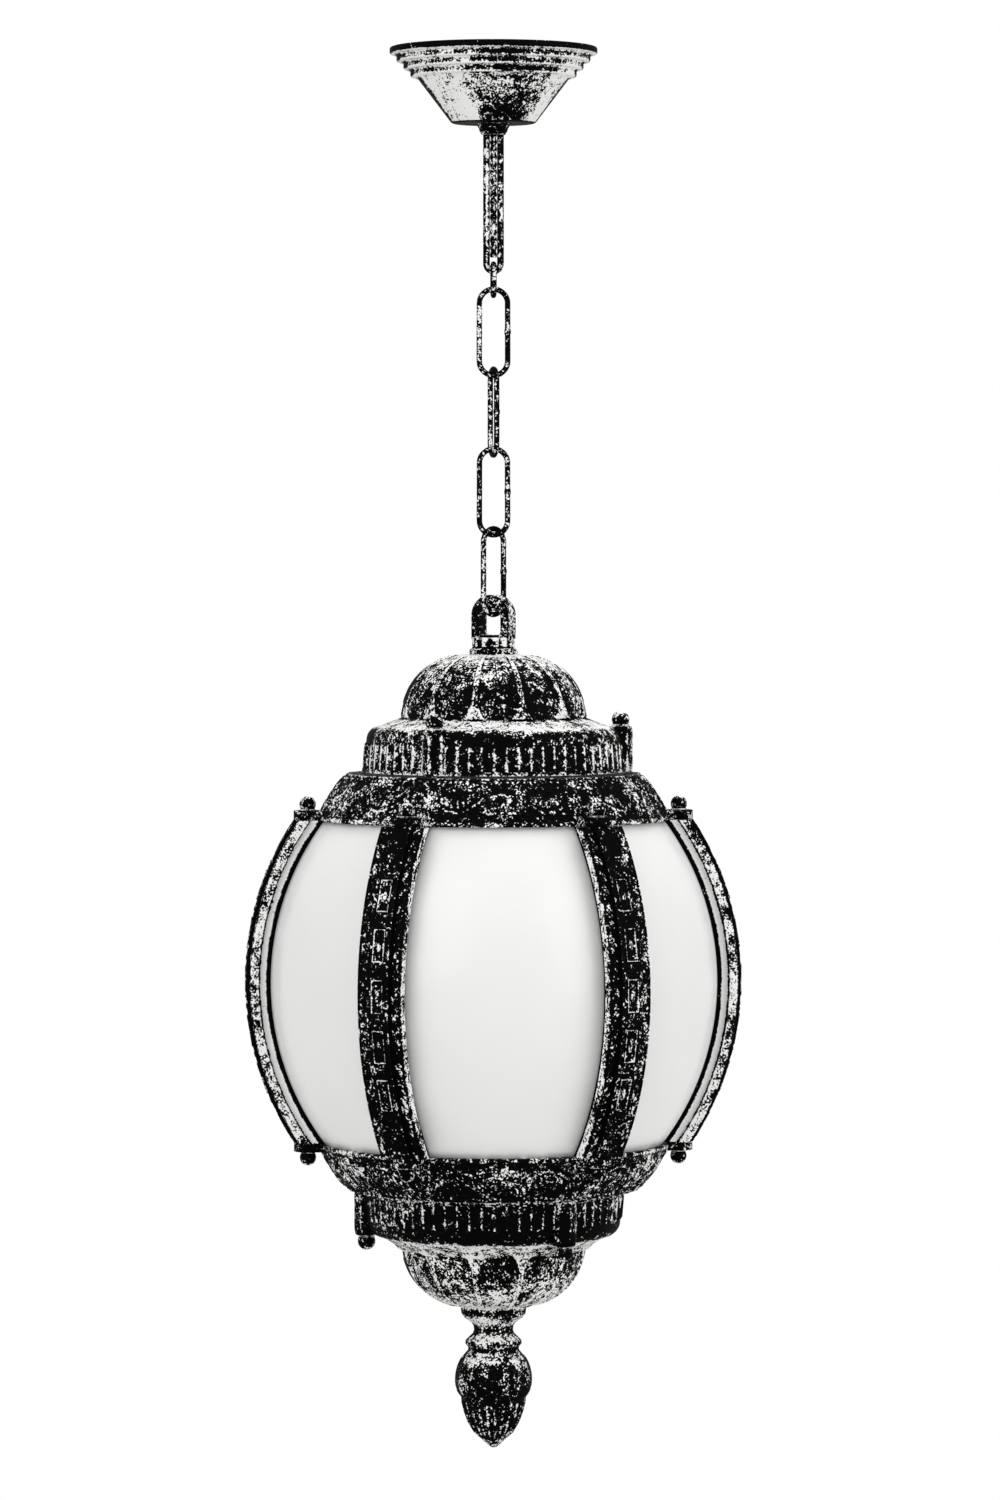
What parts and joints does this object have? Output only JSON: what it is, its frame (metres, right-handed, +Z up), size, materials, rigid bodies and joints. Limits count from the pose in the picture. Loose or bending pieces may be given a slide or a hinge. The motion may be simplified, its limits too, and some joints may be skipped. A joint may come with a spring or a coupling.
{
  "type": "hanging lantern",
  "caption": "Barrel-shaped cast lantern with curved ribs and opal panes, hung on a short chain from a stepped ceiling canopy.",
  "frame": {"origin": "centre of the ceiling plate's face that lies on the ceiling", "axes": "+Z up out of the ceiling face, with the lantern hanging along -Z; a rib lies on +X; -Y is the front"},
  "size_m": [0.249, 0.224, 0.7008],
  "materials": {
    "iron_castings": "satin",
    "iron_links": "satin",
    "iron_screws": "satin",
    "bare_steel": "satin",
    "brass": "satin",
    "opal_glass": "gloss",
    "bulb_glass": "gloss",
    "ceramic": "gloss",
    "seal": "matte"
  },
  "bodies": {
    "hanger": {"ceiling_plate": "bare_steel", "lock_nut": "bare_steel", "terminal_block": "ceramic", "terminal_screws": "bare_steel", "hanger_link": "iron_links"},
    "canopy": {"canopy": "iron_castings", "canopy_collar": "iron_castings", "set_screw": "bare_steel"},
    "joiner": {"joining_link": "iron_links"},
    "link_1": {"chain_link_1": "iron_links"},
    "link_2": {"chain_link_2": "iron_links"},
    "link_3": {"chain_link_3": "iron_links"},
    "link_4": {"chain_link_4": "iron_links"},
    "lantern": {"top_loop": "iron_castings", "nipple": "brass", "nipple_washer": "bare_steel", "nipple_nut": "bare_steel", "crown": "iron_castings", "crown_seal": "seal", "crown_screws": "iron_screws", "roof_skirt": "iron_castings", "base_skirt": "iron_castings", "rib_1": "iron_castings", "rib_2": "iron_castings", "rib_3": "iron_castings", "rib_4": "iron_castings", "rib_5": "iron_castings", "rib_6": "iron_castings", "pane_1": "opal_glass", "pane_2": "opal_glass", "pane_3": "opal_glass", "pane_4": "opal_glass", "pane_5": "opal_glass", "pane_6": "opal_glass", "upper_rib_screws": "iron_screws", "lower_rib_screws": "iron_screws", "upper_pane_seal": "seal", "lower_pane_seal": "seal", "lampholder_cap": "brass", "lampholder_body": "ceramic", "screw_shell": "brass", "centre_contact": "brass"},
    "bulb": {"bulb_cap": "bare_steel", "bulb_glass": "bulb_glass"},
    "cup": {"cup": "iron_castings", "cup_seal": "seal", "finial": "iron_castings", "finial_stud": "bare_steel", "finial_nut": "bare_steel"},
    "cup_screw_1": {"cup_screw_1": "iron_screws"},
    "cup_screw_2": {"cup_screw_2": "iron_screws"},
    "cup_screw_3": {"cup_screw_3": "iron_screws"}
  },
  "joints": [
    {"name": "canopy_slide", "type": "slide", "parent": "hanger", "child": "canopy", "axis": [0, 0, -1], "range_m": [0, 0.055]},
    {"name": "joiner_swing", "type": "hinge", "parent": "hanger", "child": "joiner", "pos_m": [0, 0, -0.1111], "axis": [1, 0, 0], "range_deg": [-25, 25]},
    {"name": "link_1_swing", "type": "hinge", "parent": "joiner", "child": "link_1", "pos_m": [0, 0, -0.1233], "axis": [0, 1, 0], "range_deg": [-25, 25]},
    {"name": "link_2_swing", "type": "hinge", "parent": "link_1", "child": "link_2", "pos_m": [0, 0, -0.1631], "axis": [1, 0, 0], "range_deg": [-25, 25]},
    {"name": "link_3_swing", "type": "hinge", "parent": "link_2", "child": "link_3", "pos_m": [0, 0, -0.2029], "axis": [0.1736, -0.9848, 0], "range_deg": [-25, 25]},
    {"name": "link_4_swing", "type": "hinge", "parent": "link_3", "child": "link_4", "pos_m": [0, 0, -0.2427], "axis": [0.9848, -0.1736, 0], "range_deg": [-25, 25]},
    {"name": "lantern_swing", "type": "hinge", "parent": "link_4", "child": "lantern", "pos_m": [0, 0, -0.2825], "axis": [0.7431, 0.6691, 0], "range_deg": [-20, 20]},
    {"name": "bulb_out", "type": "slide", "parent": "lantern", "child": "bulb", "axis": [0, 0, -1], "range_m": [0, 0.04]},
    {"name": "cup_drop", "type": "slide", "parent": "lantern", "child": "cup", "axis": [0, 0, -1], "range_m": [0, 0.05]},
    {"name": "cup_screw_1_turn", "type": "hinge", "parent": "cup", "child": "cup_screw_1", "pos_m": [0.03185, 0.05517, -0.5955], "axis": [0, 0, 1], "continuous": true},
    {"name": "cup_screw_2_turn", "type": "hinge", "parent": "cup", "child": "cup_screw_2", "pos_m": [-0.0637, 0, -0.5955], "axis": [0, 0, 1], "continuous": true},
    {"name": "cup_screw_3_turn", "type": "hinge", "parent": "cup", "child": "cup_screw_3", "pos_m": [0.03185, -0.05517, -0.5955], "axis": [0, 0, 1], "continuous": true}
  ]
}
